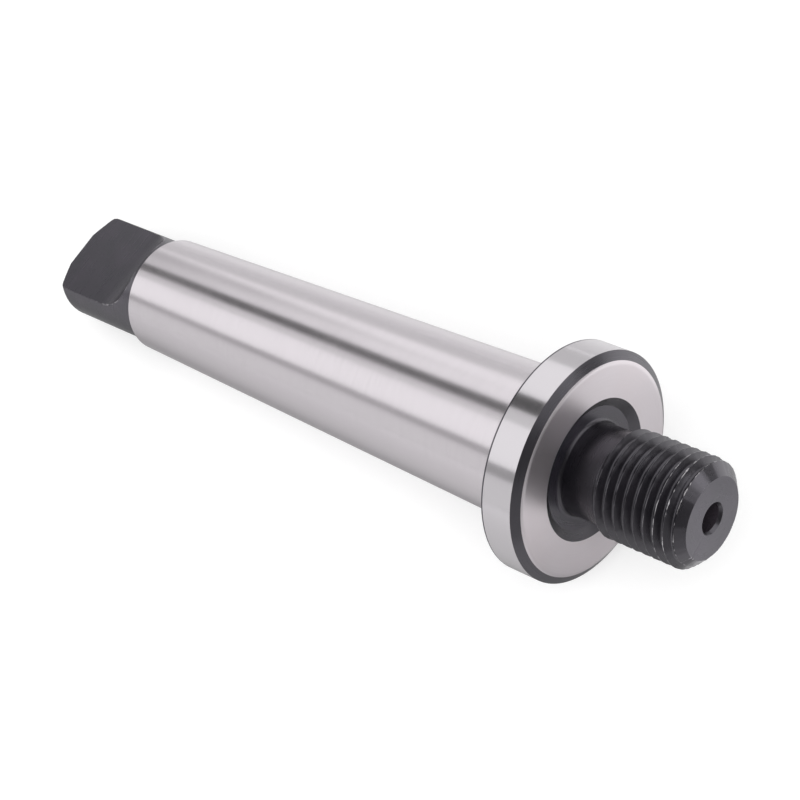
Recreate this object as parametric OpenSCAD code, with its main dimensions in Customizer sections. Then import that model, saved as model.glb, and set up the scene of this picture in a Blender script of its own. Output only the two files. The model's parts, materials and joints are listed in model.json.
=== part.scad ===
// Threaded drill chuck arbor: a number 2 self-holding taper shank with a tang, a collar and a
// threaded stud, all one piece of steel. Millimetres. The axis lies along X with the stud at +X,
// and the two tang flats face +Z and -Z. The origin is on the axis at the taper's gauge plane,
// which is where the mouth of the machine spindle comes.

/* [Taper shank] */
// Diameter of the taper at the gauge plane
gauge_d = 17.78; // [17:0.01:20]
// Growth of the taper's diameter for each millimetre of its length
taper_rate = 0.04995; // [0.04:0.00005:0.06]
// Length of the taper from its small end to the gauge plane
taper_l = 60; // [50:0.5:75]
// Ground edge at the taper's small end
taper_end_break = 0.3; // [0.1:0.05:0.5]
// Distance from the gauge plane to the collar's back face
gauge_gap = 5; // [2:0.1:10]
// Radius of the corner where the taper meets the collar
collar_root_r = 0.5; // [0.2:0.1:1]

/* [Tang] */
// Length of the tang from the taper's small end to its tip
tang_l = 15.7; // [15:0.05:19]
// Diameter of the turned end that the tang is milled from
tang_d = 13.5; // [11:0.1:13.9]
// Thickness of the tang across its flats
tang_t = 6.3; // [5:0.1:8]
// Length of each flat, from the tip to where it starts to run out
tang_flat_l = 9.4; // [7:0.05:9.8]
// Radius that the milling cutter leaves where each flat runs out
tang_runout_r = 6; // [4:0.1:7]
// Diameter of the flat end face at the tip
tang_tip_d = 7.9; // [5:0.1:10]
// Angle of the cone round that face, measured from the face
tang_tip_angle = 26; // [10:1:40]
// Radius of the turned corner between that cone and the tang's side
tang_tip_r = 1; // [0.5:0.1:1.6]

/* [Collar] */
// Outside diameter of the collar
collar_d = 27; // [24:0.1:36]
// Thickness of the collar
collar_t = 4.8; // [3:0.1:10]
// Length of the chamfer at the rim of the collar's front face, along the axis and up to the face
front_chamfer_l = 0.75; // [0.3:0.05:1.5]
// Depth of that chamfer, from the rim towards the axis
front_chamfer_h = 1; // [0.3:0.05:1.5]
// Edge break at the rim of the collar's back face
back_break = 0.1; // [0.05:0.05:0.6]
// Width of the ground slope between that chamfer and the flat of the face
face_slope_w = 0.5; // [0.2:0.05:0.8]
// Drop of that slope, along the axis
face_slope_h = 0.12; // [0.04:0.02:0.2]
// Diameter of the unground recess in the front face
recess_d = 16.6; // [14.6:0.1:20]
// Depth of that recess
recess_h = 0.7; // [0.2:0.05:1]
// Width of the slope from the face down to the recess floor
recess_slope_w = 1.1; // [0.2:0.05:1.3]

/* [Stud] */
// Outside diameter over the crests of the thread
thread_d = 12.5; // [11:0.05:13]
// Length of the stud from the collar's front face to its end face
stud_l = 15.5; // [12:0.1:30]
// Depth of the neck below the crests of the thread
neck_depth = 0.85; // [0.5:0.05:1.2]
// Length of the neck from the collar's front face to the thread's shoulder
neck_l = 3.8; // [2:0.1:6]
// Radius at the root of the neck
neck_root_r = 0.45; // [0.2:0.05:0.8]
// Length of the sloping shoulder between neck and thread
shoulder_l = 0.7; // [0.3:0.05:1.5]
// Length of the chamfer at the stud's end, along the axis
nose_chamfer_l = 1.3; // [0.5:0.05:2]
// Depth of that chamfer, from the crests to the end face
nose_chamfer_h = 1.55; // [0.5:0.05:2]

/* [Centre holes] */
// Diameter of the drilled part of each centre hole
centre_pilot_d = 3.3; // [2:0.1:3.8]
// Width of the cone round it, seen from the end
centre_cone_w = 0.22; // [0.1:0.02:0.5]
// Depth of the drilled part from the end face
centre_pilot_h = 4.5; // [3.5:0.1:8]
// Angle of the cone that takes the lathe centre
centre_angle = 60; // [60:15:90]
// Angle of the drill point at the bottom of the hole
drill_angle = 118; // [90:1:140]

/* [Hidden] */

$fn = 96;
// Overrun of each cut past the surface it opens
cut = 1;

gauge_r = gauge_d / 2;
small_end_x = -taper_l;
tang_tip_x = small_end_x - tang_l;
collar_back_x = gauge_gap;
face_x = collar_back_x + collar_t;
recess_x = face_x - recess_h;
stud_end_x = face_x + stud_l;

tang_r = tang_d / 2;
collar_r = collar_d / 2;
recess_r = recess_d / 2;
thread_r = thread_d / 2;
neck_r = thread_r - neck_depth;
thread_start_x = face_x + neck_l + shoulder_l;

// Radius of the taper at a place along the axis
function taper_radius(x) = gauge_r + taper_rate * x / 2;

// Every profile below is half a section: its first value is the radius, its second the place
// along the axis. This turns it into a solid about the X axis.
module turned() {
    rotate([0, 90, 0]) rotate_extrude() children();
}

// What a rounded tool nose leaves in an inner corner. side is 1 where the shaft leaves the
// face towards +X, and -1 where it leaves towards -X.
module corner_fillet(radius, x, corner_r, side) {
    centre_x = x + side * corner_r;
    difference() {
        translate([radius - corner_r, min(x, centre_x)]) square([2 * corner_r, corner_r]);
        translate([radius + corner_r, centre_x]) circle(corner_r);
    }
}

// The turned end of the shank, before its flats are milled: an end face, a cone, a corner rounded
// between the cone and the side, and the side
module tang_profile() {
    face_r = tang_tip_d / 2;
    rounding_r = tang_r - tang_tip_r;
    rounding_x = tang_tip_x + (rounding_r - face_r) * tan(tang_tip_angle)
        + tang_tip_r / cos(tang_tip_angle);
    cone_end_r = rounding_r + tang_tip_r * sin(tang_tip_angle);
    cone_end_x = rounding_x - tang_tip_r * cos(tang_tip_angle);
    polygon([
        [0, tang_tip_x],
        [face_r, tang_tip_x],
        [cone_end_r, cone_end_x],
        [rounding_r, rounding_x],
        [tang_r, rounding_x],
        [tang_r, small_end_x + cut],
        [0, small_end_x + cut]
    ]);
    translate([rounding_r, rounding_x]) circle(tang_tip_r);
}

module taper_profile() {
    polygon([
        [0, small_end_x],
        [taper_radius(small_end_x) - taper_end_break, small_end_x],
        [taper_radius(small_end_x + taper_end_break), small_end_x + taper_end_break],
        [taper_radius(collar_back_x), collar_back_x],
        [taper_radius(collar_back_x), recess_x],
        [0, recess_x]
    ]);
    corner_fillet(taper_radius(collar_back_x - collar_root_r), collar_back_x, collar_root_r, -1);
}

module collar_profile() {
    ring_r = collar_r - front_chamfer_h;
    difference() {
        polygon([
            [0, collar_back_x],
            [collar_r - back_break, collar_back_x],
            [collar_r, collar_back_x + back_break],
            [collar_r, face_x - front_chamfer_l],
            [ring_r, face_x - face_slope_h],
            [ring_r - face_slope_w, face_x],
            [0, face_x]
        ]);
        polygon([
            [0, recess_x],
            [recess_r - recess_slope_w, recess_x],
            [recess_r, face_x],
            [recess_r, face_x + cut],
            [0, face_x + cut]
        ]);
    }
}

// The stud: neck, shoulder, thread at its outside diameter and end chamfer
module stud_profile() {
    polygon([
        [0, recess_x - neck_root_r],
        [neck_r, recess_x - neck_root_r],
        [neck_r, face_x + neck_l],
        [thread_r, thread_start_x],
        [thread_r, stud_end_x - nose_chamfer_l],
        [thread_r - nose_chamfer_h, stud_end_x],
        [0, stud_end_x]
    ]);
    corner_fillet(neck_r, recess_x, neck_root_r, 1);
}

// What one pass of the milling cutter takes off above the tang
module flat_waste() {
    runout_x = tang_tip_x + tang_flat_l;
    cut_w = tang_d + 2 * cut;
    cut_h = tang_r - tang_t / 2 + cut;
    translate([tang_tip_x - cut, -cut_w / 2, tang_t / 2]) cube([tang_flat_l + cut, cut_w, cut_h]);
    translate([runout_x, 0, tang_t / 2 + tang_runout_r]) rotate([90, 0, 0])
        cylinder(r = tang_runout_r, h = cut_w, center = true);
}

// A centre hole: its mouth is at the origin and it is drilled towards -X
module centre_hole() {
    pilot_r = centre_pilot_d / 2;
    mouth_r = pilot_r + centre_cone_w;
    cone_h = centre_cone_w / tan(centre_angle / 2);
    point_h = pilot_r / tan(drill_angle / 2);
    turned() polygon([
        [0, -centre_pilot_h - point_h],
        [pilot_r, -centre_pilot_h],
        [pilot_r, -cone_h],
        [mouth_r, 0],
        [mouth_r, cut],
        [0, cut]
    ]);
}

module arbor() {
    color([0.78, 0.77, 0.78])
    difference() {
        turned() {
            tang_profile();
            taper_profile();
            collar_profile();
            stud_profile();
        }
        flat_waste();
        mirror([0, 0, 1]) flat_waste();
        translate([stud_end_x, 0, 0]) centre_hole();
        translate([tang_tip_x, 0, 0]) mirror([1, 0, 0]) centre_hole();
    }
}

arbor();
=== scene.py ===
# %% [markdown]
# # A threaded drill chuck arbor
#
# The object is one piece of steel. A ground taper shank with a tang goes into a machine spindle, a
# collar stops it, and a chuck screws onto the short threaded stud. The CAD model already gives its
# place and sizes, with a plain stud. This lesson makes the arbor again as a machinist does, by
# turning a blank, milling the tang and cutting the thread, and then gives each surface the finish
# that its last operation left on it: ground bright, or black oxide.
#
# All sizes are written in millimetres and become metres as they are used.

# %% Load the CAD frame
import json
import math

import bmesh
import bpy
from mathutils import Euler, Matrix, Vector

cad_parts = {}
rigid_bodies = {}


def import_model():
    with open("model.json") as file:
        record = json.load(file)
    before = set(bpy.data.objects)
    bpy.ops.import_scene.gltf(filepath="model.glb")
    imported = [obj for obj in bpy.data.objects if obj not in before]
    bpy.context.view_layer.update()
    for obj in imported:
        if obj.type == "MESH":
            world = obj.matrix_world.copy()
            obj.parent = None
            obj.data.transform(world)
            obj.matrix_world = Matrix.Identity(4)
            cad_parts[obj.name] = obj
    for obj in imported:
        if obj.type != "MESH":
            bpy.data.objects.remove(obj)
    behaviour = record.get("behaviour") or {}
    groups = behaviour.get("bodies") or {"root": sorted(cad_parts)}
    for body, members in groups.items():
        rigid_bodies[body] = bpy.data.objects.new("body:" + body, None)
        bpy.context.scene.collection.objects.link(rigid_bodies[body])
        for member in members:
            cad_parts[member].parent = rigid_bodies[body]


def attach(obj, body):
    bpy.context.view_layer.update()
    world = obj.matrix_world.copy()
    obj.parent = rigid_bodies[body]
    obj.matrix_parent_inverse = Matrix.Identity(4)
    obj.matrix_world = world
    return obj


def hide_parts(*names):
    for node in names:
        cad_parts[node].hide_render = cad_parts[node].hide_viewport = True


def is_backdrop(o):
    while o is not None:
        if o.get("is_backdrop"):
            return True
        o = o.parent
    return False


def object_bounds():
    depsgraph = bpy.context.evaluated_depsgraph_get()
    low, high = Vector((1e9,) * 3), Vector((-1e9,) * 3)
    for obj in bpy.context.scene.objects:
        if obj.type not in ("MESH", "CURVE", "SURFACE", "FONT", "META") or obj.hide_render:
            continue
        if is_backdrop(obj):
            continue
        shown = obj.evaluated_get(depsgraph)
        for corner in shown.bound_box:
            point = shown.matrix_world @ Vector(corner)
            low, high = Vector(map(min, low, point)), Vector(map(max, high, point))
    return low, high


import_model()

MM = 0.001
cad_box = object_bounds()
for corner in cad_box:
    print("CAD box corner", [round(number / MM, 2) for number in corner], "mm")

# %% [markdown]
# ## The camera
#
# The photograph looks down on the arbor from beside its threaded end, and the camera is rolled, so that
# the shank climbs to the upper left. A camera is easiest to place with a spot that it stands on, a spot
# that it looks at, and a roll about its own line of sight. These come from the edges of the taper, the
# collar's circles and the stud in the photograph.

# %% Place the camera
CAMERA_PLACE = Vector((126.61, -65.88, 176.73)) * MM
CAMERA_AIM = Vector((-18.671, -1.068, -0.391)) * MM
CAMERA_ROLL = -36.38
FOCAL_LENGTH = 91.19
SENSOR_WIDTH = 36
CLIP_START = 10

camera = bpy.data.objects.new("photo_camera", bpy.data.cameras.new("photo_camera"))
bpy.context.scene.collection.objects.link(camera)
line_of_sight = CAMERA_AIM - CAMERA_PLACE
upright = line_of_sight.to_track_quat("-Z", "Y").to_matrix()
roll = Euler((0, 0, math.radians(CAMERA_ROLL))).to_matrix()
camera.location = CAMERA_PLACE
camera.rotation_euler = (upright @ roll).to_euler()
camera.data.lens = FOCAL_LENGTH
camera.data.sensor_width = SENSOR_WIDTH
camera.data.clip_start = CLIP_START * MM
camera.data.dof.use_dof = False
bpy.context.scene.camera = camera
print("camera distance", round(line_of_sight.length / MM, 1), "mm")

# %% [markdown]
# ## Working by hand in edit mode
#
# Everything below is shaped with the same operators that a person would press keys for. An operator
# acts on whatever is selected, and the frame leaves its own objects selected, so each job starts
# with an empty selection. The parts of a mesh to work on are then picked by where they are.

# %% Helpers to select one piece and parts of it
def clear_selection():
    """Leave edit mode and select nothing"""
    if bpy.context.object and bpy.context.object.mode != "OBJECT":
        bpy.ops.object.mode_set(mode="OBJECT")
    bpy.ops.object.select_all(action="DESELECT")


def take(piece):
    """Select one piece and nothing else"""
    clear_selection()
    piece.select_set(True)
    bpy.context.view_layer.objects.active = piece


def open_mesh(piece):
    """Go into edit mode on one piece, with nothing in it picked"""
    take(piece)
    bpy.ops.object.mode_set(mode="EDIT")
    bpy.ops.mesh.select_all(action="DESELECT")


def close_mesh():
    """Go back to object mode"""
    bpy.ops.object.mode_set(mode="OBJECT")


def pick_all():
    """Pick the whole of the open mesh"""
    bpy.ops.mesh.select_all(action="SELECT")


def pick(piece, kind, wanted):
    """Pick the vertices, edges or faces that pass a test, and say how many they are"""
    bpy.ops.mesh.select_all(action="DESELECT")
    bpy.ops.mesh.select_mode(type=kind)
    mesh = bmesh.from_edit_mesh(piece.data)
    parts = {"VERT": mesh.verts, "EDGE": mesh.edges, "FACE": mesh.faces}[kind]
    chosen = [part for part in parts if wanted(part)]
    for part in chosen:
        part.select_set(True)
    bmesh.update_edit_mesh(piece.data)
    return len(chosen)


def turn_faces_out():
    """Turn the picked faces so that they point outwards"""
    bpy.ops.mesh.normals_make_consistent(inside=False)


def move_by(along_x, across, up):
    """Move what is picked by a step in millimetres"""
    bpy.ops.transform.translate(value=(along_x * MM, across * MM, up * MM))


def apply_modifier(piece, kind, **settings):
    """Add one modifier, set it up and apply it"""
    take(piece)
    modifier = piece.modifiers.new(kind.lower(), kind)
    for name, value in settings.items():
        setattr(modifier, name, value)
    bpy.ops.object.modifier_apply(modifier=modifier.name)


# %% [markdown]
# ## The turned profile
#
# On the lathe the whole arbor is turned from one bar, so it starts here as one outline from the
# axis at the tang's end to the axis at the stud's end. Each station of the outline is a place along
# the axis and a radius. The taper follows the number 2 self-holding taper: 17.78 mm at the gauge
# plane, which is the origin, and 0.04995 mm of diameter for each millimetre of length.
#
# A smoothly shaded mesh blends the direction of neighbouring faces. A long face beside a small
# rounding would then look bent from end to end, so each rounding gets a guard ring next to it, and
# the blending stays within that narrow ring.

# %% Sizes of the shank
GAUGE_R = 8.89
TAPER_RATE = 0.04995
SMALL_END_X = -60
SMALL_END_BREAK = 0.3
TANG_TIP_X = -75.7
TANG_R = 6.75
TIP_FACE_R = 3.95
TIP_CONE = math.radians(26)
TIP_ROUNDING = 1.0
TIP_STEPS = 8
GUARD = 0.12


def taper_radius(x):
    """Radius of the taper at a place along the axis"""
    return GAUGE_R + TAPER_RATE * x / 2


def rounding(centre_x, centre_r, radius, start, end, steps):
    """Stations round a turned corner, from one angle to another in degrees"""
    stations = []
    for step in range(steps + 1):
        angle = math.radians(start + (end - start) * step / steps)
        stations.append((centre_x + radius * math.cos(angle), centre_r + radius * math.sin(angle)))
    return stations


print("taper radius at the small end", round(taper_radius(SMALL_END_X), 3), "mm")

# %% [markdown]
# A centre hole in each end carries the arbor between the grinder's centres. It is a drilled hole
# with a narrow cone of 60 degrees at its mouth. It is the same at both ends, so it is written once,
# as stations that start on the axis at the bottom of the hole and come out at its mouth.

# %% Stations of a centre hole
PILOT_R = 1.65
PILOT_DEPTH = 4.5
CONE_WIDTH = 0.22
CONE_ANGLE = math.radians(60)
DRILL_ANGLE = math.radians(118)

mouth_r = PILOT_R + CONE_WIDTH
cone_depth = CONE_WIDTH / math.tan(CONE_ANGLE / 2)
point_depth = PILOT_R / math.tan(DRILL_ANGLE / 2)


def centre_hole(end_x, inward):
    """Stations of a centre hole; inward is 1 or -1, the way along X that it is drilled"""
    return [
        (end_x + inward * (PILOT_DEPTH + point_depth), 0),
        (end_x + inward * PILOT_DEPTH, PILOT_R),
        (end_x + inward * cone_depth, PILOT_R),
        (end_x, mouth_r),
    ]


print("centre hole cone", round(cone_depth, 2), "mm deep")

# %% [markdown]
# The collar has a black chamfer at the rim of its front face. The ground ring inside it rolls off a
# little towards the chamfer, because the grinding wheel gives at the edge of the work. Then comes a
# recess that the wheel didn't reach. At the back of the rim a hair of it is left black. The stud starts
# with a neck, where the threading tool runs out, and ends with a chamfer.

# %% Sizes of the collar and the stud
COLLAR_BACK_X = 5
COLLAR_R = 13.5
COLLAR_ROOT = 0.5
BACK_BREAK = 0.1
BLACK_BACK_STRIP = 0.17
FACE_X = 9.8
CHAMFER_LENGTH = 0.75
CHAMFER_DEPTH = 1.0
ROLL_OFF_WIDTH = 0.5
ROLL_OFF_DROP = 0.12
RECESS_R = 8.3
RECESS_SLOPE = 1.1
RECESS_X = 9.1
NECK_R = 5.4
NECK_ROOT = 0.45
NECK_END_X = 13.6
THREAD_START_X = 14.3
THREAD_R = 6.25
NOSE_X = 24.0
NOSE_R = 4.7
STUD_END_X = 25.3
ROOT_STEPS = 6
ROLL_OFF_STEPS = 6

ground_r = COLLAR_R - CHAMFER_DEPTH
flat_r = ground_r - ROLL_OFF_WIDTH
roll_off_r = (ROLL_OFF_WIDTH ** 2 + ROLL_OFF_DROP ** 2) / (2 * ROLL_OFF_DROP)
roll_off_angle = math.degrees(math.asin(ROLL_OFF_WIDTH / roll_off_r))
ground_rim_x = COLLAR_BACK_X + BACK_BREAK + BLACK_BACK_STRIP
root_x = COLLAR_BACK_X - COLLAR_ROOT
print("the ring rolls off by", round(roll_off_angle, 1), "degrees on", round(roll_off_r, 2), "mm radius")

# %% [markdown]
# The outline goes from station to station in three stretches: the shank with its tang, the collar,
# and the stud. Roundings are put in by their centre, radius and angles. What stands between them is
# listed point by point.

# %% Draw the outline
tip_cone_height = (TANG_R - TIP_ROUNDING - TIP_FACE_R) * math.tan(TIP_CONE)
tip_centre_x = TANG_TIP_X + tip_cone_height + TIP_ROUNDING / math.cos(TIP_CONE)
tip_start = 180 - math.degrees(TIP_CONE)

shank_outline = (
    centre_hole(TANG_TIP_X, 1)
    + [(TANG_TIP_X, TIP_FACE_R)]
    + rounding(tip_centre_x, TANG_R - TIP_ROUNDING, TIP_ROUNDING, tip_start, 90, TIP_STEPS)
    + [
        (tip_centre_x + GUARD, TANG_R),
        (SMALL_END_X, TANG_R),
        (SMALL_END_X, taper_radius(SMALL_END_X) - SMALL_END_BREAK),
        (SMALL_END_X + SMALL_END_BREAK, taper_radius(SMALL_END_X + SMALL_END_BREAK)),
        (root_x - GUARD, taper_radius(root_x - GUARD)),
    ]
)
collar_outline = (
    rounding(root_x, taper_radius(root_x) + COLLAR_ROOT, COLLAR_ROOT, -90, 0, ROOT_STEPS)
    + [
        (COLLAR_BACK_X, taper_radius(root_x) + COLLAR_ROOT + GUARD),
        (COLLAR_BACK_X, COLLAR_R - BACK_BREAK),
        (COLLAR_BACK_X + BACK_BREAK, COLLAR_R),
        (ground_rim_x, COLLAR_R),
        (FACE_X - CHAMFER_LENGTH, COLLAR_R),
    ]
    + rounding(FACE_X - roll_off_r, flat_r, roll_off_r, roll_off_angle, 0, ROLL_OFF_STEPS)
    + [
        (FACE_X, flat_r - GUARD),
        (FACE_X, RECESS_R),
        (RECESS_X, RECESS_R - RECESS_SLOPE),
        (RECESS_X, NECK_R + NECK_ROOT + GUARD),
    ]
)
stud_outline = (
    rounding(RECESS_X + NECK_ROOT, NECK_R + NECK_ROOT, NECK_ROOT, 180, 270, ROOT_STEPS)
    + [
        (RECESS_X + NECK_ROOT + GUARD, NECK_R),
        (NECK_END_X, NECK_R),
        (THREAD_START_X, THREAD_R),
        (NOSE_X, THREAD_R),
        (STUD_END_X, NOSE_R),
    ]
    + centre_hole(STUD_END_X, -1)[::-1]
)
outline = shank_outline + collar_outline + stud_outline
print("outline of", len(outline), "stations, with holes", round(outline[0][0] - TANG_TIP_X, 2), "mm deep")

# %% [markdown]
# ## Turning the blank
#
# The outline is drawn as a chain of points, extruded one from the next, and then spun once round
# the X axis, which is what the lathe does. It starts from a plane whose corners are merged into one
# point. The spin closes on itself and leaves a bundle of points at each end of the axis, so these
# are merged, and the faces are then turned to point outwards.
#
# 128 sides keep the outline of the collar round to a few thousandths of a millimetre.

# %% Spin the outline into a blank
SIDES = 128
SAME_PLACE = 0.002

clear_selection()
bpy.ops.mesh.primitive_plane_add(size=1 * MM, location=(0, 0, 0))
arbor = bpy.context.object
arbor.name = "machined_arbor"
arbor.data.name = "machined_arbor"
bpy.ops.object.mode_set(mode="EDIT")
bpy.ops.mesh.select_mode(type="VERT")
pick_all()
bpy.ops.mesh.merge(type="CENTER")
move_by(outline[0][0], 0, outline[0][1])
for (x, r), (next_x, next_r) in zip(outline, outline[1:]):
    step = ((next_x - x) * MM, 0, (next_r - r) * MM)
    bpy.ops.mesh.extrude_region_move(TRANSFORM_OT_translate={"value": step})
pick_all()
bpy.ops.mesh.spin(steps=SIDES, angle=2 * math.pi, center=(0, 0, 0), axis=(1, 0, 0))
pick_all()
bpy.ops.mesh.remove_doubles(threshold=SAME_PLACE * MM)
turn_faces_out()
close_mesh()
print("blank of", len(arbor.data.polygons), "faces")

# %% [markdown]
# ## Milling the tang
#
# The tang is the flat tongue that a drift strikes to push the arbor out of the spindle. A round
# cutter mills one flat, and where it lifts out of the steel it leaves its own radius. The block
# that stands for what it takes away is a cube with its lower front edge bevelled to that radius.
# A Mirror modifier gives the second flat, and a Boolean takes both off the blank.

# %% Mill the two flats
TANG_THICKNESS = 6.3
FLAT_END_X = -66.3
CUTTER_R = 6
CUTTER_STEPS = 32
OVERRUN = 1

flat_z = TANG_THICKNESS / 2
block_start = TANG_TIP_X - OVERRUN
block_end = FLAT_END_X + CUTTER_R
block_top = flat_z + CUTTER_R + OVERRUN
block_centre = Vector(((block_start + block_end) / 2, 0, (flat_z + block_top) / 2)) * MM
block_size = Vector((block_end - block_start, 2 * TANG_R + 2 * OVERRUN, block_top - flat_z)) * MM


def at_lower_front(edge):
    """True for the edge of the block that the cutter's radius replaces"""
    return all(
        abs(vert.co.x / MM - block_end) < SAME_PLACE and abs(vert.co.z / MM - flat_z) < SAME_PLACE
        for vert in edge.verts
    )


clear_selection()
bpy.ops.mesh.primitive_cube_add(size=1, location=block_centre, scale=block_size)
milled_away = bpy.context.object
milled_away.name = "milled_away"
bpy.ops.object.transform_apply(location=True, rotation=True, scale=True)
open_mesh(milled_away)
pick(milled_away, "EDGE", at_lower_front)
bpy.ops.mesh.bevel(offset=CUTTER_R * MM, segments=CUTTER_STEPS, affect="EDGES", clamp_overlap=False)
close_mesh()
apply_modifier(milled_away, "MIRROR", use_axis=(False, False, True), use_clip=False)
open_mesh(milled_away)
pick_all()
turn_faces_out()
close_mesh()
apply_modifier(arbor, "BOOLEAN", operation="DIFFERENCE", solver="EXACT", object=milled_away)
bpy.data.objects.remove(milled_away)
print("after milling", len(arbor.data.polygons), "faces")

# %% [markdown]
# The milled edges aren't knife sharp: they were deburred with a file and have been knocked about in
# a drawer. The edges round the flats are those where a milled face meets a turned one. They get a
# narrow bevel of two segments, which is what catches the light along the tang. A Boolean leaves some
# very short edges beside its cut, which would spoil a bevel, so near points are merged there first.
#
# The arbor will have four finishes: black, ground bright, black that is rubbed through, and a darker
# black that is painted shade. Their material slots are added now, still empty, because the bevel leaves
# its new faces picked, and they can be put in the rubbed slot straight away.

# %% Break the milled edges
EDGE_BREAK = 0.13
SHORT_EDGE = 0.07
HAIR = 0.01
SAME_WAY = 0.02
LEAST_UPWARD = 0.3
BLACK, GROUND, RUBBED, PAINTED_SHADE = 0, 1, 2, 3

take(arbor)
for finish in (BLACK, GROUND, RUBBED, PAINTED_SHADE):
    bpy.ops.object.material_slot_add()


def break_edges(piece, wanted, width):
    """Bevel the edges that pass a test, put the bevel in the rubbed slot, and say how many they are"""
    open_mesh(piece)
    pick(piece, "EDGE", wanted)
    bpy.ops.mesh.select_more()
    bpy.ops.mesh.remove_doubles(threshold=SHORT_EDGE * MM)
    count = pick(piece, "EDGE", wanted)
    bpy.ops.mesh.bevel(offset=width * MM, segments=2, affect="EDGES", clamp_overlap=False)
    piece.active_material_index = RUBBED
    bpy.ops.object.material_slot_assign()
    close_mesh()
    return count


def is_milled(face):
    """True for a face that the milling cutter left"""
    middle = face.calc_center_median() / MM
    across_the_cut = abs(face.normal.y) < SAME_WAY and abs(face.normal.z) > LEAST_UPWARD
    return middle.x < block_end and abs(middle.z) > flat_z - HAIR and across_the_cut


def at_milled_edge(edge):
    """True for an edge between a milled face and a turned one"""
    if len(edge.link_faces) != 2:
        return False
    one, other = edge.link_faces
    return is_milled(one) != is_milled(other)


print("broke", break_edges(arbor, at_milled_edge, EDGE_BREAK), "edges round the flats")

# %% [markdown]
# ## Cutting the thread
#
# The stud has a right-hand thread with a pitch of 1.27 mm, 20 turns to the inch, and 60 degrees
# between its flanks. A threading tool with that shape starts in the air before the stud's end,
# cuts a helix and runs out over the neck. So the groove is made as a solid: the tool's outline,
# swept along a helix by the Screw modifier and closed at both ends. It has one step for each side
# of the blank, so the two meshes meet edge on edge and the cut stays clean.
#
# The tool's outline is a plane whose lower edge is drawn in to the narrow tip and rounded. It
# stands a little proud of the crests, but less than would make neighbouring turns touch.

# %% Shape the threading tool
PITCH = 1.27
ROOT_R = 5.5
TIP_WIDTH = 0.30
TIP_CORNER = 0.4 * TIP_WIDTH
PROUD = 0.08
FLANK_SLOPE = math.tan(math.radians(30))
GROOVE_X = 12.464
TURNS = 11

tool_height = THREAD_R + PROUD - ROOT_R
mouth_width = TIP_WIDTH + 2 * tool_height * FLANK_SLOPE

clear_selection()
bpy.ops.mesh.primitive_plane_add(size=1 * MM, location=(0, 0, 0))
groove = bpy.context.object
groove.name = "thread_groove"
open_mesh(groove)
pick_all()
bpy.ops.transform.rotate(value=math.pi / 2, orient_axis="X", center_override=(0, 0, 0))
bpy.ops.transform.resize(value=(mouth_width, 1, tool_height), center_override=(0, 0, 0))
pick(groove, "VERT", lambda vert: vert.co.z < 0)
bpy.ops.transform.resize(value=(TIP_WIDTH / mouth_width, 1, 1), center_override=(0, 0, 0))
bpy.ops.mesh.bevel(offset=TIP_CORNER * MM, segments=2, affect="VERTICES")
pick_all()
move_by(GROOVE_X, 0, ROOT_R + tool_height / 2)
close_mesh()
print("groove", round(mouth_width, 3), "mm wide at its mouth, pitch", PITCH)

# %% Sweep the groove
SAME_POINT = 0.0002

apply_modifier(groove, "SCREW", axis="X", angle=2 * math.pi, screw_offset=PITCH * MM, iterations=TURNS,
               steps=SIDES, render_steps=SIDES, use_merge_vertices=False, use_normal_calculate=True)
open_mesh(groove)
pick_all()
bpy.ops.mesh.remove_doubles(threshold=SAME_POINT * MM)
pick_all()
bpy.ops.mesh.fill_holes(sides=0)
pick_all()
turn_faces_out()
close_mesh()
reach = [vert.co.x / MM for vert in groove.data.vertices]
print("groove runs from", round(min(reach), 2), "to", round(max(reach), 2), "mm")

# %% Cut the thread
apply_modifier(arbor, "BOOLEAN", operation="DIFFERENCE", solver="EXACT", object=groove)
bpy.data.objects.remove(groove)
print("after threading", len(arbor.data.polygons), "faces")

# %% [markdown]
# The last groove cuts through the chamfer at the stud's end and leaves a sharp edge there. It is the
# first thing that a chuck meets, so it is rubbed bright in spots. Its edges are those between the
# chamfer's cone and a face that isn't part of it. They are broken as those of the tang were.

# %% Break the edge where the thread starts
NEARLY = 0.02
START_BREAK = 0.09
nose_slant = math.atan2(THREAD_R - NOSE_R, STUD_END_X - NOSE_X)
nose_facing = math.sin(nose_slant)


def on_nose(face):
    """True for a face of the chamfer at the stud's end"""
    middle = face.calc_center_median() / MM
    return NOSE_X < middle.x < STUD_END_X and abs(face.normal.x - nose_facing) < SAME_WAY


def at_thread_start(edge):
    """True for an edge of that chamfer, but not for the one round the end face"""
    if len(edge.link_faces) != 2 or min(vert.co.x for vert in edge.verts) > (STUD_END_X - GUARD) * MM:
        return False
    one, other = edge.link_faces
    return on_nose(one) != on_nose(other)


print("broke", break_edges(arbor, at_thread_start, START_BREAK), "edges where the thread starts")

# %% [markdown]
# A cut can leave points on top of each other, edges without a length and points that nothing uses.
# These are cleared away, and then the skin is measured: on a closed one each edge has two faces, and
# it holds a volume.

# %% Check that the mesh is one closed skin
open_mesh(arbor)
pick_all()
bpy.ops.mesh.remove_doubles(threshold=SAME_POINT * MM)
bpy.ops.mesh.dissolve_degenerate(threshold=SAME_POINT * MM)
pick_all()
bpy.ops.mesh.delete_loose()
skin = bmesh.from_edit_mesh(arbor.data)
open_edges = sum(1 for edge in skin.edges if not edge.is_manifold)
loose = sum(1 for vert in skin.verts if not vert.link_faces)
volume = skin.calc_volume() / MM ** 3
close_mesh()
print("open edges", open_edges, "and loose points", loose, "and volume", round(volume), "mm3")

# %% [markdown]
# ## Shared effects
#
# The finishes show how the arbor was made. Turning and grinding leave fine marks that run round the
# axis, and handling leaves cloudy patches. Each such effect is a shader node group with named
# sockets, built once, and each material places it with its own values. A group only puts out
# varying masks and heights. The shader itself stays in the material.

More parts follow.
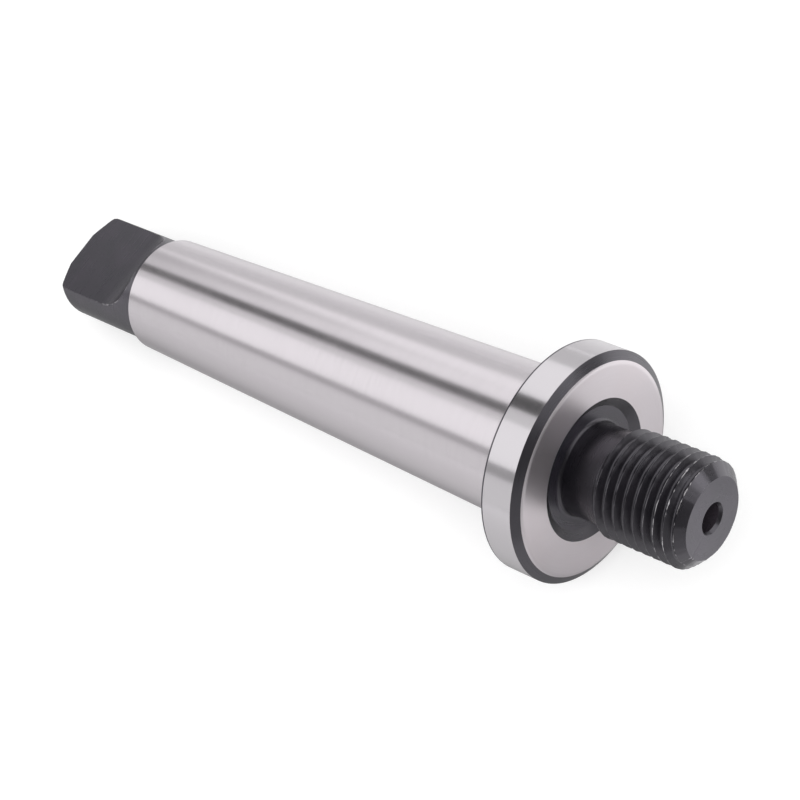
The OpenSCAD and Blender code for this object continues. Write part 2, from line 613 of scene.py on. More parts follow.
# %% Helpers to build node trees
NUMBER = "NodeSocketFloat"
VECTOR = "NodeSocketVector"


def new_group(name, inputs, outputs):
    """An empty node group with its sockets; returns the tree and its input and output nodes"""
    tree = bpy.data.node_groups.new(name, "ShaderNodeTree")
    for socket, (kind, value) in inputs.items():
        made = tree.interface.new_socket(socket, in_out="INPUT", socket_type=kind)
        if value is not None:
            made.default_value = value
    for socket, kind in outputs.items():
        tree.interface.new_socket(socket, in_out="OUTPUT", socket_type=kind)
    return tree, tree.nodes.new("NodeGroupInput"), tree.nodes.new("NodeGroupOutput")


def wire(tree, node, inputs):
    """Give each named input of a node a value, or a wire from another node"""
    for socket, value in inputs.items():
        if isinstance(value, bpy.types.NodeSocket):
            tree.links.new(value, node.inputs[socket])
        else:
            node.inputs[socket].default_value = value


def add(tree, kind, inputs, **settings):
    """Add a node, set its options, and then its inputs"""
    node = tree.nodes.new(kind)
    for name, value in settings.items():
        setattr(node, name, value)
    wire(tree, node, inputs)
    return node


def use_group(tree, group, place, **inputs):
    """Place a shared effect, with the object's coordinates and its own values"""
    return add(tree, "ShaderNodeGroup", {"Place": place, **inputs}, node_tree=group)


# %% [markdown]
# Most of a node tree is small sums on one number after another. These helpers name the sums that
# the materials use, so that each of them reads as one line.

# %% Helpers for the sums in a node tree
def maths(tree, operation, first, second=0.0):
    """One Math node; returns its output"""
    return add(tree, "ShaderNodeMath", {0: first, 1: second}, operation=operation).outputs[0]


def times(tree, first, second):
    """The product of two values"""
    return maths(tree, "MULTIPLY", first, second)


def plus(tree, first, second):
    """The sum of two values"""
    return maths(tree, "ADD", first, second)


def scaled(tree, value, factor, start):
    """A value times a factor, on top of a start"""
    return plus(tree, times(tree, value, factor), start)


def fade(tree, value, start, end, low=0.0, high=1.0):
    """A value that goes from low to high while another goes from start to end"""
    limits = {"Value": value, "From Min": start, "From Max": end, "To Min": low, "To Max": high}
    return add(tree, "ShaderNodeMapRange", limits).outputs[0]


def mix_colours(tree, amount, first, second):
    """Mix two colours by a mask; returns the mixed colour"""
    node = add(tree, "ShaderNodeMix", {0: amount, 6: first, 7: second}, data_type="RGBA")
    return node.outputs[2]


# %% [markdown]
# The first group turns a place on the arbor into how far along the axis it is, how far out from it
# and which way round, in millimetres. The others read these.

# %% Group: where a point is on the shaft
shaft_place, group_in, group_out = new_group(
    "shaft_place", {"Place": (VECTOR, None)}, {"Along": NUMBER, "Out": NUMBER, "Round": VECTOR})
in_mm = add(shaft_place, "ShaderNodeVectorMath", {0: group_in.outputs["Place"], "Scale": 1 / MM},
            operation="SCALE")
split = add(shaft_place, "ShaderNodeSeparateXYZ", {0: in_mm.outputs[0]})
across = add(shaft_place, "ShaderNodeCombineXYZ", {1: split.outputs[1], 2: split.outputs[2]})
out = add(shaft_place, "ShaderNodeVectorMath", {0: across.outputs[0]}, operation="LENGTH")
unit = add(shaft_place, "ShaderNodeVectorMath", {0: across.outputs[0]}, operation="NORMALIZE")
wire(shaft_place, group_out, {
    "Along": split.outputs[0],
    "Out": out.outputs["Value"],
    "Round": unit.outputs[0],
})
print("group", shaft_place.name)

# %% [markdown]
# Tool and wheel marks are noise that is drawn out round the axis. On a shaft the marks follow one
# another along the axis, and on a face that looks along it they follow one another outwards, so the
# group takes the one or the other by which way the surface faces. The noise has four dimensions:
# two of them carry the direction round the axis, so a mark closes on itself without a seam.

# %% Group: marks that run round the axis
round_marks, group_in, group_out = new_group(
    "round_marks",
    {
        "Place": (VECTOR, None),
        "Facing": (VECTOR, None),
        "Spacing": (NUMBER, 0.1),
        "Drift": (NUMBER, 1.0),
    },
    {"Marks": NUMBER},
)
where = use_group(round_marks, shaft_place, group_in.outputs["Place"])
facing = add(round_marks, "ShaderNodeSeparateXYZ", {0: group_in.outputs["Facing"]})
end_on = maths(round_marks, "ABSOLUTE", facing.outputs[0])
side_on = maths(round_marks, "SUBTRACT", 1.0, end_on)
line = plus(round_marks, times(round_marks, where.outputs["Along"], side_on),
            times(round_marks, where.outputs["Out"], end_on))
line = maths(round_marks, "DIVIDE", line, group_in.outputs["Spacing"])
direction = add(round_marks, "ShaderNodeSeparateXYZ", {0: where.outputs["Round"]})
drift_y = times(round_marks, direction.outputs[1], group_in.outputs["Drift"])
drift_z = times(round_marks, direction.outputs[2], group_in.outputs["Drift"])
spot = add(round_marks, "ShaderNodeCombineXYZ", {0: line, 1: drift_y})
marks = add(
    round_marks, "ShaderNodeTexNoise",
    {"Vector": spot.outputs[0], "W": drift_z, "Scale": 1.0, "Detail": 3.0, "Roughness": 0.6},
    noise_dimensions="4D",
)
wire(round_marks, group_out, {"Marks": marks.outputs[0]})
print("group", round_marks.name)

# %% [markdown]
# Cloudy patches come from oil, fingers and the blacking bath. One noise in three dimensions, with
# its contrast set by two limits, serves for all of them. Its size is in millimetres.

# %% Group: cloudy patches
clouds, group_in, group_out = new_group(
    "clouds",
    {"Place": (VECTOR, None), "Size": (NUMBER, 4.0), "Low": (NUMBER, 0.4), "High": (NUMBER, 0.6)},
    {"Patches": NUMBER},
)
fineness = maths(clouds, "DIVIDE", 1 / MM, group_in.outputs["Size"])
noise = add(
    clouds, "ShaderNodeTexNoise",
    {"Vector": group_in.outputs["Place"], "Scale": fineness, "Detail": 4.0, "Roughness": 0.55},
)
patches = add(
    clouds, "ShaderNodeMapRange",
    {
        "Value": noise.outputs[0],
        "From Min": group_in.outputs["Low"],
        "From Max": group_in.outputs["High"],
    },
    interpolation_type="SMOOTHSTEP",
)
wire(clouds, group_out, {"Patches": patches.outputs[0]})
print("group", clouds.name)

# %% [markdown]
# The last effect is a tone for two kinds of place. Faces that look along the axis are painted lighter:
# painted light on those faces. The tang is greyer too. The blacking bath hardly reaches into a centre
# hole, and a second output tells where that is.

# %% Group: painted light on faces along the axis, and the grey tang
END_ON_START = 0.90
END_ON_FULL = 0.98

painted_face_light_and_greys, group_in, group_out = new_group(
    "painted_face_light_and_greys",
    {
        "Place": (VECTOR, None),
        "Facing": (VECTOR, None),
        "Face": (NUMBER, 1.0),
        "Tang": (NUMBER, 0.6),
    },
    {"Lit_face_and_tang_grey": NUMBER, "Hole": NUMBER},
)
where = use_group(painted_face_light_and_greys, shaft_place, group_in.outputs["Place"])
facing = add(painted_face_light_and_greys, "ShaderNodeSeparateXYZ", {0: group_in.outputs["Facing"]})
end_on = maths(painted_face_light_and_greys, "ABSOLUTE", facing.outputs[0])
end_on = fade(painted_face_light_and_greys, end_on, END_ON_START, END_ON_FULL)
on_tang = maths(painted_face_light_and_greys, "LESS_THAN", where.outputs["Along"], SMALL_END_X + HAIR)
in_hole = maths(painted_face_light_and_greys, "LESS_THAN", where.outputs["Out"], PILOT_R + HAIR)
grey = maths(painted_face_light_and_greys, "MAXIMUM", times(painted_face_light_and_greys, end_on, group_in.outputs["Face"]),
             times(painted_face_light_and_greys, on_tang, group_in.outputs["Tang"]))
wire(painted_face_light_and_greys, group_out, {"Lit_face_and_tang_grey": grey, "Hole": in_hole})
print("group", painted_face_light_and_greys.name)

# %% [markdown]
# ## Ground steel
#
# The taper, the collar's rim and its ring were ground after blackening, so they are bare. Grinding
# marks are too fine to see one by one at this distance. What shows is their effect: a reflection is
# drawn out across the marks and stays crisp along them, so the shader is anisotropic, about a
# tangent that runs round the X axis. The wheel also leaves the surface faintly wavy, by about a
# hundredth of a millimetre in each centimetre, and so no reflection on it is quite straight. The
# ring on the collar's face was ground by the side of the wheel. It is a little rougher, scatters
# some light and is stained in patches. The rim is smoother and a little darker.

# %% Start a material
def start_material(name):
    """A new material; returns it, its tree and its shader, and each point's place and facing"""
    material = bpy.data.materials.new(name)
    material.use_nodes = True
    tree = material.node_tree
    shader = tree.nodes["Principled BSDF"]
    coordinates = add(tree, "ShaderNodeTexCoord", {})
    return material, tree, shader, coordinates.outputs["Object"], coordinates.outputs["Normal"]


# %% Material: ground steel
GROUND_BRIGHT = (0.89, 0.845, 0.885, 1)
GROUND_DULL = (0.76, 0.715, 0.75, 1)
GROUND_STAIN = (0.75, 0.69, 0.72, 1)
GROUND_RIM = (0.73, 0.70, 0.73, 1)
GROUND_ROUGHNESS = 0.17
MARKS_ROUGHEN = 0.10
HAZE_ROUGHENS = 0.03
RING_ROUGHENS = 0.12
RIM_SMOOTHENS = 0.06
RING_SCATTER = 0.08
STAIN_LEAST = 0.4
STAIN_IN_PATCHES = 0.5
WAVES_PER_MM = 0.11
WAVE_HEIGHT = 0.027
MARK_HEIGHT = 0.004

ground_steel, tree, shader, place, facing = start_material("ground_steel_bare")
where = use_group(tree, shaft_place, place)
fine = use_group(tree, round_marks, place, Facing=facing, Spacing=0.09, Drift=2.0)
haze = use_group(tree, clouds, place, Size=9.0, Low=0.35, High=0.7)
front = add(tree, "ShaderNodeSeparateXYZ", {0: facing})
end_on = maths(tree, "ABSOLUTE", front.outputs[0])
on_rim = maths(tree, "GREATER_THAN", where.outputs["Out"], COLLAR_R - NEARLY)

tone = scaled(tree, fine.outputs["Marks"], 0.7, 0.5)
stain = scaled(tree, haze.outputs["Patches"], STAIN_IN_PATCHES, STAIN_LEAST)
stain = times(tree, maths(tree, "POWER", end_on, 4.0), stain)
colour = mix_colours(tree, tone, GROUND_BRIGHT, GROUND_DULL)
colour = mix_colours(tree, stain, colour, GROUND_STAIN)
colour = mix_colours(tree, on_rim, colour, GROUND_RIM)

rough = scaled(tree, fine.outputs["Marks"], MARKS_ROUGHEN, GROUND_ROUGHNESS)
rough = plus(tree, rough, times(tree, haze.outputs["Patches"], HAZE_ROUGHENS))
rough = plus(tree, rough, times(tree, end_on, RING_ROUGHENS))
rough = maths(tree, "SUBTRACT", rough, times(tree, on_rim, RIM_SMOOTHENS))
bare_metal = maths(tree, "SUBTRACT", 1.0, times(tree, end_on, RING_SCATTER))

waves = add(tree, "ShaderNodeTexNoise", {"Vector": place, "Scale": WAVES_PER_MM / MM, "Detail": 1.0})
swell = add(tree, "ShaderNodeBump", {
    "Height": waves.outputs[0],
    "Strength": 1.0,
    "Distance": WAVE_HEIGHT * MM,
})
relief = add(tree, "ShaderNodeBump", {
    "Height": fine.outputs["Marks"],
    "Strength": 0.15,
    "Distance": MARK_HEIGHT * MM,
    "Normal": swell.outputs[0],
})
round_axis = add(tree, "ShaderNodeTangent", {}, direction_type="RADIAL", axis="X")
wire(tree, shader, {
    "Base Color": colour,
    "Roughness": rough,
    "Metallic": bare_metal,
    "Anisotropic": 0.5,
    "Anisotropic Rotation": 0.25,
    "Tangent": round_axis.outputs[0],
    "Normal": relief.outputs[0],
})
print("material", ground_steel.name)

# %% [markdown]
# ## Black oxide
#
# The rest of the arbor was blackened in a hot salt bath and wiped with oil. The skin is thin, so
# the marks of turning show through, and it has the soft sheen of oiled steel. It turns a little
# warmer and lighter in patches. Nearly all that comes back from it is mirrored light, so its own
# colour is very dark, and its index of refraction sets how bright it looks.

# %% Material: black oxide
OXIDE_DARK = (0.002, 0.002, 0.003, 1)
OXIDE_LIGHT = (0.008, 0.007, 0.009, 1)
OXIDE_LIT_FACE_AND_TANG_GREY = (0.013, 0.013, 0.017, 1)
OXIDE_LIT_FACE_AND_TANG_CLOUD = (0.022, 0.018, 0.026, 1)
HOLE_GREY = (0.03, 0.025, 0.031, 1)
OXIDE_SHEEN = (0.94, 0.90, 1.0, 1)
OXIDE_ROUGHNESS = 0.22
TURNING_ROUGHENS = 0.14
TURNING_HEIGHT = 0.01
OXIDE_IOR = 2.15


def black_oxide_finish(name, refraction):
    """Black oxide on turned steel; returns the material, its tree, shader, place and colour"""
    material, tree, shader, place, facing = start_material(name)
    turned = use_group(tree, round_marks, place, Facing=facing, Spacing=0.16, Drift=1.2)
    bath = use_group(tree, clouds, place, Size=3.0, Low=0.35, High=0.68)
    skin = use_group(tree, painted_face_light_and_greys, place, Facing=facing)
    tone = times(tree, plus(tree, turned.outputs["Marks"], bath.outputs["Patches"]), 0.6)
    colour = mix_colours(tree, tone, OXIDE_DARK, OXIDE_LIGHT)
    # Faces that look along the axis get a lighter colour here as painted light, and the tang gets the
    # same grey.
    lit_face_and_tang_greys = mix_colours(tree, bath.outputs["Patches"], OXIDE_LIT_FACE_AND_TANG_GREY, OXIDE_LIT_FACE_AND_TANG_CLOUD)
    colour = mix_colours(tree, skin.outputs["Lit_face_and_tang_grey"], colour, lit_face_and_tang_greys)
    colour = mix_colours(tree, skin.outputs["Hole"], colour, HOLE_GREY)
    relief = add(tree, "ShaderNodeBump", {
        "Height": turned.outputs["Marks"],
        "Strength": 0.25,
        "Distance": TURNING_HEIGHT * MM,
    })
    wire(tree, shader, {
        "Base Color": colour,
        "Roughness": scaled(tree, turned.outputs["Marks"], TURNING_ROUGHENS, OXIDE_ROUGHNESS),
        "IOR": refraction,
        "Specular Tint": OXIDE_SHEEN,
        "Normal": relief.outputs[0],
    })
    return material, tree, shader, place, colour


black_oxide = black_oxide_finish("black_oxide", OXIDE_IOR)[0]
print("material", black_oxide.name)

# %% [markdown]
# The recess, the neck and the grooves of the thread get a darker copy of the oxide: painted shade for
# those hollows. Its step in refraction is smaller, so less light is thrown back there, and the same
# finish looks deeper black.

# %% Material: black oxide with painted shade
PAINTED_SHADE_IOR = 1.88
painted_shade_oxide = black_oxide_finish("painted_shade_oxide", PAINTED_SHADE_IOR)[0]
print("material", painted_shade_oxide.name)

# %% [markdown]
# The crests of the thread and the broken edges of the tang have been rubbed by chucks and drifts.
# There the oxide is worn through in short broken lines, most of all on the turns next to the end
# and where the tang's flats run out. These narrow faces get the same oxide with bare steel showing
# through it in spots.

# %% Material: rubbed oxide
RUBBED_STEEL = (0.62, 0.60, 0.62, 1)
RUBBED_IOR = 1.85
STUD_WEAR = {"start": 20.5, "end": NOSE_X, "low": 0.02, "high": 1.0}
TANG_WEAR = {"start": -67.5, "end": -65.5, "low": 0.03, "high": 0.3}

rubbed_oxide, tree, shader, place, oxide_colour = black_oxide_finish("rubbed_oxide", RUBBED_IOR)
along = use_group(tree, shaft_place, place).outputs["Along"]
spots = use_group(tree, clouds, place, Size=0.7, Low=0.44, High=0.60)
on_tang = maths(tree, "LESS_THAN", along, SMALL_END_X)
on_stud = maths(tree, "SUBTRACT", 1.0, on_tang)
worn = plus(tree, times(tree, fade(tree, along, **TANG_WEAR), on_tang),
            times(tree, fade(tree, along, **STUD_WEAR), on_stud))
bare = times(tree, spots.outputs["Patches"], worn)
wire(tree, shader, {
    "Base Color": mix_colours(tree, bare, oxide_colour, RUBBED_STEEL),
    "Metallic": bare,
})
print("material", rubbed_oxide.name)

# %% [markdown]
# ## Giving each face its finish
#
# Which faces are bare follows from where the grinding wheel went: the taper, the collar's rim, and the
# ring with its rolled-off edge. The crests of the thread, which are all that is left of the stud's full
# radius, join the narrow bevels in the rubbed slot. All the rest is black, with the darker copy as
# painted shade from the recess to the last groove of the thread.

# %% Share out the materials
MATERIALS = {BLACK: black_oxide, GROUND: ground_steel, RUBBED: rubbed_oxide, PAINTED_SHADE: painted_shade_oxide}
TAPER_LEAST_R = taper_radius(SMALL_END_X) - SMALL_END_BREAK - NEARLY


def finish_of(face):
    """Which finish a face has: the one it was given already, or else one by its place"""
    if face.material_index == RUBBED:
        return RUBBED
    x = face.calc_center_median().x / MM
    radii = [math.hypot(vert.co.y, vert.co.z) / MM for vert in face.verts]
    largest = max(radii)
    smallest = min(radii)
    on_taper = SMALL_END_X < x < root_x and smallest > TAPER_LEAST_R
    on_rim = ground_rim_x < x < FACE_X - CHAMFER_LENGTH and smallest > COLLAR_R - NEARLY
    on_ring = (abs(x - FACE_X) < ROLL_OFF_DROP and smallest > RECESS_R - NEARLY
               and largest < ground_r + NEARLY)
    if on_taper or on_rim or on_ring:
        return GROUND
    on_crest = THREAD_START_X - NEARLY < x < NOSE_X + NEARLY and smallest > THREAD_R - NEARLY
    if on_crest:
        return RUBBED
    # The darker copy is painted shade, from the recess to the last groove.
    in_painted_shade = RECESS_X - NEARLY < x < NOSE_X and largest < RECESS_R + NEARLY
    return PAINTED_SHADE if in_painted_shade else BLACK


for finish, material in MATERIALS.items():
    arbor.material_slots[finish].material = material
open_mesh(arbor)
skin = bmesh.from_edit_mesh(arbor.data)
shares = dict.fromkeys(MATERIALS, 0)
for face in skin.faces:
    face.material_index = finish_of(face)
    shares[face.material_index] += 1
bmesh.update_edit_mesh(arbor.data)
close_mesh()
print("faces that are black, ground, rubbed and oiled:", list(shares.values()))

# %% [markdown]
# A threading tool tears the steel a little as it leaves a crest, so no crest runs quite straight.
# The points of the rubbed faces on the stud get a small random step. It goes by the order of the
# points, which a Boolean doesn't always leave the same. So they are first sorted by how far they are
# from the 3D cursor, which is put where hardly any two of them are equally far from it.

# %% Tear the crests a little
TORN = 0.05
TORN_SEED = 7
SORT_FROM = (-0.2, 0.013, 0.017)


def on_rubbed_stud(face):
    """True for a rubbed face on the stud"""
    return face.material_index == RUBBED and face.calc_center_median().x > 0


open_mesh(arbor)
pick_all()
bpy.context.scene.cursor.location = SORT_FROM
bpy.ops.mesh.sort_elements(type="CURSOR_DISTANCE", elements={"VERT"})
bpy.context.scene.cursor.location = (0, 0, 0)
count = pick(arbor, "FACE", on_rubbed_stud)
bpy.ops.transform.vertex_random(offset=TORN * MM, seed=TORN_SEED)
close_mesh()
print("tore", count, "narrow faces along the thread")

# %% [markdown]
# Bevels and random steps can leave a point a hair beyond either end face. The arbor was faced off to
# length, so such points are pressed flat onto the end face, by scaling them to nothing along X.

# %% Press the end faces flat
def press_flat(piece, end_x, side):
    """Press the points beyond an end face onto it, and say how many; side is 1 at +X and -1 at -X"""
    open_mesh(piece)
    count = pick(piece, "VERT", lambda vert: side * (vert.co.x - end_x * MM) > 0)
    bpy.ops.transform.resize(value=(0, 1, 1), center_override=(end_x * MM, 0, 0))
    close_mesh()
    return count


print("pressed", press_flat(arbor, TANG_TIP_X, -1), "points at the tang's tip")
print("pressed", press_flat(arbor, STUD_END_X, 1), "points at the stud's end")

# %% [markdown]
# The facets stand for round surfaces, so they are shaded smooth, and only what meets at a sharper
# angle than a facet or a rounding step does stays crisp. The Weighted Normal modifier then lets the
# large faces decide how the shading runs over their narrow neighbours.

# %% Shade it smooth, and keep the corners crisp
SMOOTH_BELOW = 28
FACE_WEIGHT = 50

take(arbor)
bpy.ops.object.shade_smooth_by_angle(angle=math.radians(SMOOTH_BELOW))
apply_modifier(arbor, "WEIGHTED_NORMAL", mode="FACE_AREA_WITH_ANGLE", weight=FACE_WEIGHT, keep_sharp=True)

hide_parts("arbor")
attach(arbor, "root")
print("finished with", len(arbor.data.vertices), "points")

# %% [markdown]
# ## The floor
#
# The arbor lies on its collar's rim and on the small end of its taper, so the floor under it slopes
# a little against its axis. A plane is cut across twice, and its middle strip is tilted to touch
# both. Further out it is level again, and it stays below the arbor's axis, so that a camera near
# the floor still sees over it. It is plain and pale, and it keeps a soft shadow.

# %% Make the floor
FLOOR_SIZE = 3000
REST_FRONT = Vector((COLLAR_BACK_X + BACK_BREAK, -COLLAR_R))
REST_BACK = Vector((SMALL_END_X, -taper_radius(SMALL_END_X)))
SLOPE_START_X = -85
SLOPE_END_X = 45
floor_slope = (REST_FRONT.y - REST_BACK.y) / (REST_FRONT.x - REST_BACK.x)


def floor_height(x):
    """Height of the floor at a place along X"""
    along = min(max(x, SLOPE_START_X), SLOPE_END_X)
    return REST_BACK.y + floor_slope * (along - REST_BACK.x)


clear_selection()
bpy.ops.mesh.primitive_plane_add(size=FLOOR_SIZE * MM, location=(0, 0, 0))
floor = bpy.context.object
floor.name = "floor"
open_mesh(floor)
for cut_x in (SLOPE_START_X, SLOPE_END_X):
    pick_all()
    bpy.ops.mesh.bisect(plane_co=(cut_x * MM, 0, 0), plane_no=(1, 0, 0))
for side, edge_x in ((-1, SLOPE_START_X), (1, SLOPE_END_X)):
    pick(floor, "VERT", lambda vert: side * (vert.co.x / MM - edge_x) > -SAME_PLACE)
    move_by(0, 0, floor_height(edge_x))
close_mesh()
floor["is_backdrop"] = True
print("floor slopes", round(math.degrees(math.atan(floor_slope)), 2), "degrees")

# %% [markdown]
# The camera sees one plain tone. What the steel mirrors is the floor as a studio light leaves it: it is
# bright on the far side, falls off under the arbor and is grey along its near side. A colour ramp across
# the floor paints that light and shade, with a painted shadow beside the arbor on its near side, and only
# reflections read it. Far off the floor glows, so that it ends without a line in front of the white room.

# %% Floor paint
FLOOR_TONE = 0.55
CAMERA_LIFT = 0.52
FAR_LIFT = 1.1
GLOW_START = 200
GLOW_END = 700
RAMP_START_Y = -140
RAMP_END_Y = 200
# Painted light and shade across the floor, seen only in reflections.
PAINTED_LIGHT_AND_SHADE_ACROSS = (
    (-140, 0.68), (-60, 0.60), (-32, 0.56), (-22, 0.53), (-16, 0.47), (-13, 0.40), (-10.4, 0.35),
    (-8.4, 0.42), (-6.8, 0.50), (-5.8, 0.55), (-4.4, 0.66), (-2.8, 0.78), (0, 0.80), (6, 0.72),
    (14, 0.65), (19, 0.73), (27, 0.78), (41, 0.75), (56, 0.69), (100, 0.66), (150, 0.56), (200, 0.36),
)

floor_paint = bpy.data.materials.new("floor_paint")
floor_paint.use_nodes = True
tree = floor_paint.node_tree
tree.nodes.remove(tree.nodes["Principled BSDF"])
place = add(tree, "ShaderNodeTexCoord", {}).outputs["Object"]
split = add(tree, "ShaderNodeSeparateXYZ", {0: place})
across = fade(tree, split.outputs[1], RAMP_START_Y * MM, RAMP_END_Y * MM)
ramp = add(tree, "ShaderNodeValToRGB", {0: across})
stops = ramp.color_ramp.elements
for number, (y, tone) in enumerate(PAINTED_LIGHT_AND_SHADE_ACROSS):
    position = (y - RAMP_START_Y) / (RAMP_END_Y - RAMP_START_Y)
    stop = stops[0] if number == 0 else stops.new(position)
    stop.position = position
    stop.color = (tone, tone, tone, 1)
stops.remove(stops[len(stops) - 1])
light_path = add(tree, "ShaderNodeLightPath", {})
plain_tone = (FLOOR_TONE, FLOOR_TONE, FLOOR_TONE, 1)
colour = mix_colours(tree, light_path.outputs["Is Glossy Ray"], plain_tone, ramp.outputs[0])
paint = add(tree, "ShaderNodeBsdfDiffuse", {"Color": colour})
distance = add(tree, "ShaderNodeVectorMath", {0: place}, operation="LENGTH")
glow = fade(tree, distance.outputs["Value"], GLOW_START * MM, GLOW_END * MM, CAMERA_LIFT, FAR_LIFT)
glow = times(tree, light_path.outputs["Is Camera Ray"], glow)
lift = add(tree, "ShaderNodeEmission", {"Strength": glow})
both = add(tree, "ShaderNodeAddShader", {0: paint.outputs[0], 1: lift.outputs[0]})
tree.links.new(both.outputs[0], tree.nodes["Material Output"].inputs["Surface"])
floor.data.materials.append(floor_paint)
print("floor paint has", len(stops), "tones across")

# %% [markdown]
# ## Light
#
# Polished metal shows what stands round it, so a photographer lights the room and not the metal. A
# white room gives the bright bands. Long cards beside the axis give the dark line along the taper and
# the grey of its flanks. The room is dark beyond the stud's end, with one bright opening, and that is
# what the black stud and the two chamfers mirror. The cards on the floor make it light or dark where
# the collar's face and the stud mirror it. All the cards are only seen in reflections, and cast no
# shadow.

# %% The white room
ROOM_LIGHT = 0.6

world = bpy.data.worlds.new("white_room")
bpy.context.scene.world = world
world.use_nodes = True
tree = world.node_tree
light_path = add(tree, "ShaderNodeLightPath", {})
seen = maths(tree, "MAXIMUM", light_path.outputs["Is Camera Ray"], light_path.outputs["Is Glossy Ray"])
seen = maths(tree, "MAXIMUM", seen, light_path.outputs["Is Transmission Ray"])
level = scaled(tree, seen, 1 - ROOM_LIGHT, ROOM_LIGHT)
wire(tree, tree.nodes["Background"], {"Color": (1, 1, 1, 1), "Strength": level})
print("the room lights with", ROOM_LIGHT, "and is seen at 1")

# %% One large soft lamp
LAMP_WATTS = 9
LAMP_SIZE = 1200
LAMP_PLACE = Vector((450, -350, 700)) * MM

lamp_data = bpy.data.lights.new("large_softbox", "AREA")
lamp_data.shape = "SQUARE"
lamp_data.size = LAMP_SIZE * MM
lamp_data.energy = LAMP_WATTS
lamp = bpy.data.objects.new("large_softbox", lamp_data)
lamp.location = LAMP_PLACE
lamp.rotation_euler = (-LAMP_PLACE).to_track_quat("-Z", "Y").to_euler()
lamp.visible_glossy = False
lamp.visible_camera = False
bpy.context.scene.collection.objects.link(lamp)
print("lamp is", round(LAMP_PLACE.length / MM), "mm from the origin")

# %% [markdown]
# A card is a plane that glows by itself. Each is placed by what it is for: it hangs beside the axis,
# stands across it or beside it, or lies on the floor.

# %% Helpers to make a card
CARD_REACH = 600
CARD_START_X = -1500
CARD_END_X = 100
ROOM_START_X = -900
ROOM_END_X = 700
ROOM_NEAR_Y = -600
ROOM_FAR_Y = 700
ABOVE_FLOOR = 0.5
ground_z = floor_height(ROOM_END_X)


def make_card(name, brightness, centre, size, turn):
    """A flat card that glows and is only seen in reflections; centre and size in millimetres"""
    clear_selection()
    bpy.ops.mesh.primitive_plane_add(size=1, location=Vector(centre) * MM, rotation=turn)
    card = bpy.context.object
    card.name = name
    card.scale = (size[0] * MM, size[1] * MM, 1)
    card_paint = bpy.data.materials.new(name)
    card_paint.use_nodes = True
    tree = card_paint.node_tree
    tree.nodes.remove(tree.nodes["Principled BSDF"])
    colour = (brightness, brightness, brightness, 1)
    glow = add(tree, "ShaderNodeEmission", {"Color": colour, "Strength": 1.0})
    tree.links.new(glow.outputs[0], tree.nodes["Material Output"].inputs["Surface"])
    card.data.materials.append(card_paint)
    card.visible_camera = False
    card.visible_diffuse = False
    card.visible_shadow = False
    card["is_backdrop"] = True
    print("card", name, "is", round(size[0]), "by", round(size[1]), "mm")


def hang_card(name, start, end, brightness):
    """A long card beside the axis; start and end are degrees round it, 0 above and 90 towards -Y"""
    middle = math.radians((start + end) / 2)
    middle_x = (CARD_START_X + CARD_END_X) / 2
    length = CARD_END_X - CARD_START_X
    width = 2 * CARD_REACH * math.tan(math.radians((end - start) / 2))
    centre = (middle_x, -CARD_REACH * math.sin(middle), CARD_REACH * math.cos(middle))
    make_card(name, brightness, centre, (length, width), (middle, 0, 0))


def stand_card(name, x, start_y, end_y, start_z, end_z, brightness):
    """A card that stands across the axis, far away from one end of the arbor"""
    centre = (x, (start_y + end_y) / 2, (start_z + end_z) / 2)
    make_card(name, brightness, centre, (end_z - start_z, end_y - start_y), (0, math.pi / 2, 0))


def lay_card(name, start_x, end_x, start_y, end_y, brightness):
    """A card that lies just above the floor, in front of the collar"""
    centre = ((start_x + end_x) / 2, (start_y + end_y) / 2, floor_height(start_x) + ABOVE_FLOOR)
    make_card(name, brightness, centre, (end_x - start_x, end_y - start_y), (0, 0, 0))


def side_card(name, y, top_z, brightness):
    """A card that stands along the axis, beyond the stud's end and far to one side"""
    centre = ((CARD_END_X + ROOM_END_X) / 2, y, (top_z + ground_z) / 2)
    size = (ROOM_END_X - CARD_END_X, top_z - ground_z)
    make_card(name, brightness, centre, size, (math.pi / 2, 0, 0))


print("the cards beyond the stud's end stand from", round(ground_z, 1), "mm up")

# %% [markdown]
# The cards that hang beside the axis are what the taper and the rim mirror. Round the axis they run
# from the dark slot that gives the dark line, over the lighter strip beside it and the thin grey one
# below, to the two walls.

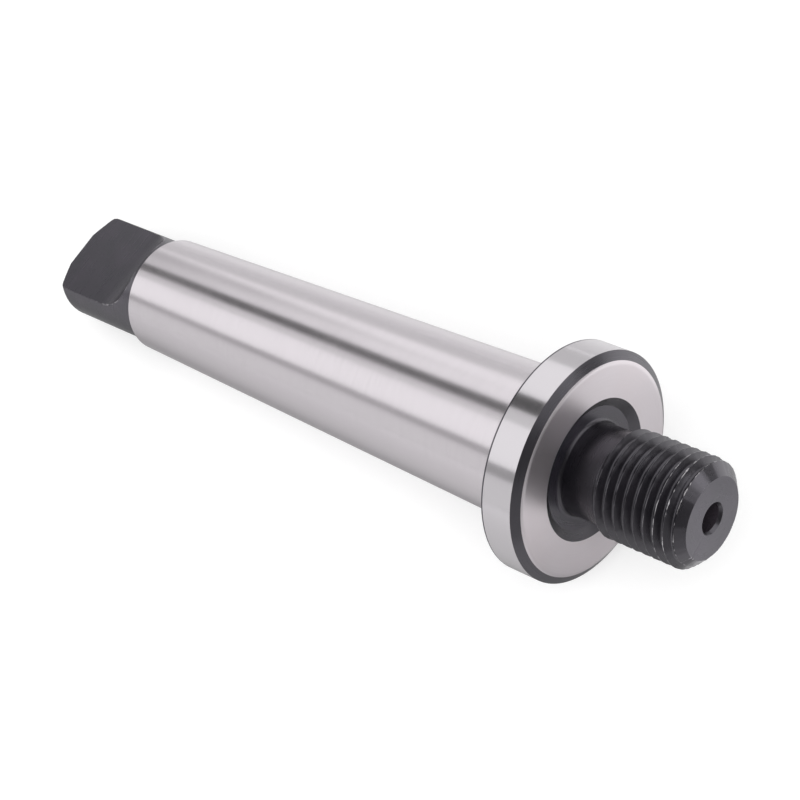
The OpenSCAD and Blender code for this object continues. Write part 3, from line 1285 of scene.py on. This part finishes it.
# %% Hang the cards beside the axis
hang_card("dark_slot_card", -20, -4, 0.10)
hang_card("slot_fringe_card", -4, 9, 0.72)
hang_card("thin_grey_card", 50, 61, 0.36)
hang_card("near_wall_card", 61, 90, 0.72)
hang_card("far_wall_card", -90, -65, 0.64)

# %% [markdown]
# Beyond the stud's end most of the room is dark, also along both its sides. The bright card is the
# opening in it, just in front of the others, and the grey ones near it are its surroundings. One more
# card stands behind the tang.

# %% Stand cards across the axis and to its sides
IN_FRONT = 2

stand_card("dark_end_card", ROOM_END_X, ROOM_NEAR_Y, 60, ground_z, 1800, 0.09)
stand_card("low_end_card", ROOM_END_X, 60, ROOM_FAR_Y, ground_z, 95, 0.15)
stand_card("grey_end_card", ROOM_END_X, 60, 320, 95, 290, 0.88)
stand_card("high_end_card", ROOM_END_X, 60, 320, 290, 700, 0.35)
stand_card("bright_end_card", ROOM_END_X - IN_FRONT, 400, 660, 50, 330, 1.7)
stand_card("tang_end_card", ROOM_START_X, -100, 700, ground_z, 700, 0.45)
side_card("dark_side_card", ROOM_NEAR_Y, 1800, 0.09)
side_card("low_side_card", ROOM_FAR_Y, 130, 0.12)

# %% [markdown]
# The collar's face and the flanks of the thread look at the floor in front of the collar. Cards paint the
# light and shade of that floor: a painted shadow right under the stud, darker floor far out, and painted
# light on its far side and in a narrow strip before the stud's end.

# %% Lay cards on the floor
lay_card("near_floor_card", 32, ROOM_END_X, ROOM_NEAR_Y, -14, 0.40)
lay_card("far_floor_card", 70, ROOM_END_X, -14, ROOM_FAR_Y, 0.25)
lay_card("near_patch_card", 22, 40, -20, -9.5, 0.65)
lay_card("lit_floor_card", 13, 60, 9, 20, 0.72)
lay_card("front_floor_card", 22, 34, -5, -2, 1.3)
# A painted shadow under the stud.
lay_card("stud_shadow_card", 14.5, 19.5, -3.5, 5, 0.35)
lay_card("bright_floor_card", 13, 60, 20, 95, 1.15)

# %% [markdown]
# ## Finish
#
# The colours are shown as they are, with no film look. The box of the finished arbor is written
# beside the CAD model's box, so that a change of size would be noticed.

# %% Colour, size and the last checks
bpy.context.scene.view_settings.view_transform = "Standard"
clear_selection()
visual_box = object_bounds()
for corner in visual_box:
    print("visual box corner", [round(number / MM, 2) for number in corner], "mm")
